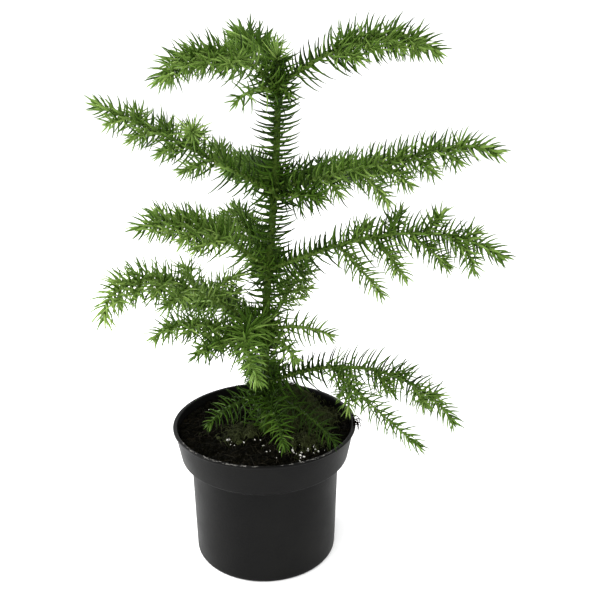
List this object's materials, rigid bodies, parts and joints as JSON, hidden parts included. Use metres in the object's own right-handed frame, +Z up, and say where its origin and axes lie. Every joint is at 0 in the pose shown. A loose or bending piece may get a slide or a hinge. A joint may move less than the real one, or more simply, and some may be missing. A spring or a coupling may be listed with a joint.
{
  "type": "potted conifer",
  "caption": "Young Norfolk Island pine with tiers of arching, soft-needled boughs round a slender leaning trunk, growing in a round black nursery pot filled with soil.",
  "frame": {"origin": "centre of the pot's flat underside", "axes": "+Z up along the pot's axis, -Y towards the side seen in the picture, +X to its right"},
  "size_m": [0.2272, 0.1604, 0.2991],
  "materials": {
    "pot": "satin black moulded plastic with a worn lip",
    "soil": "moist peat potting mix with fibres and pale grains",
    "trunk": "olive-brown young bark with needles standing out of it",
    "bough": "green young bark with needles standing out of it",
    "foliage": "soft awl-shaped needles, deep green with fresher tips"
  },
  "bodies": {
    "root": {"bough_base_back": "bough", "bough_base_right": "bough", "bough_lower_back_left": "bough", "bough_lower_back_right": "bough", "bough_lower_front_left": "bough", "bough_lower_left": "bough", "bough_lower_left_front": "bough", "bough_middle_back": "bough", "bough_middle_back_left": "bough", "bough_middle_left": "bough", "bough_middle_right": "bough", "bough_top_back": "bough", "bough_top_left": "bough", "bough_top_right": "bough", "bough_upper_back_left": "bough", "bough_upper_back_right": "bough", "bough_upper_front_right": "bough", "bough_upper_left": "bough", "bough_upper_right": "bough", "foliage_base_back": "foliage", "foliage_base_front": "foliage", "foliage_base_front_right": "foliage", "foliage_base_left": "foliage", "foliage_base_right": "foliage", "foliage_lower_back_left": "foliage", "foliage_lower_back_right": "foliage", "foliage_lower_front": "foliage", "foliage_lower_front_left": "foliage", "foliage_lower_front_right": "foliage", "foliage_lower_left": "foliage", "foliage_lower_left_front": "foliage", "foliage_lower_right": "foliage", "foliage_middle_back": "foliage", "foliage_middle_back_left": "foliage", "foliage_middle_left": "foliage", "foliage_middle_right": "foliage", "foliage_top_back": "foliage", "foliage_top_front": "foliage", "foliage_top_front_left": "foliage", "foliage_top_left": "foliage", "foliage_top_right": "foliage", "foliage_upper_back_left": "foliage", "foliage_upper_back_right": "foliage", "foliage_upper_front_right": "foliage", "foliage_upper_left": "foliage", "foliage_upper_right": "foliage", "pot": "pot", "soil": "soil", "trunk": "trunk"}
  },
  "joints": []
}
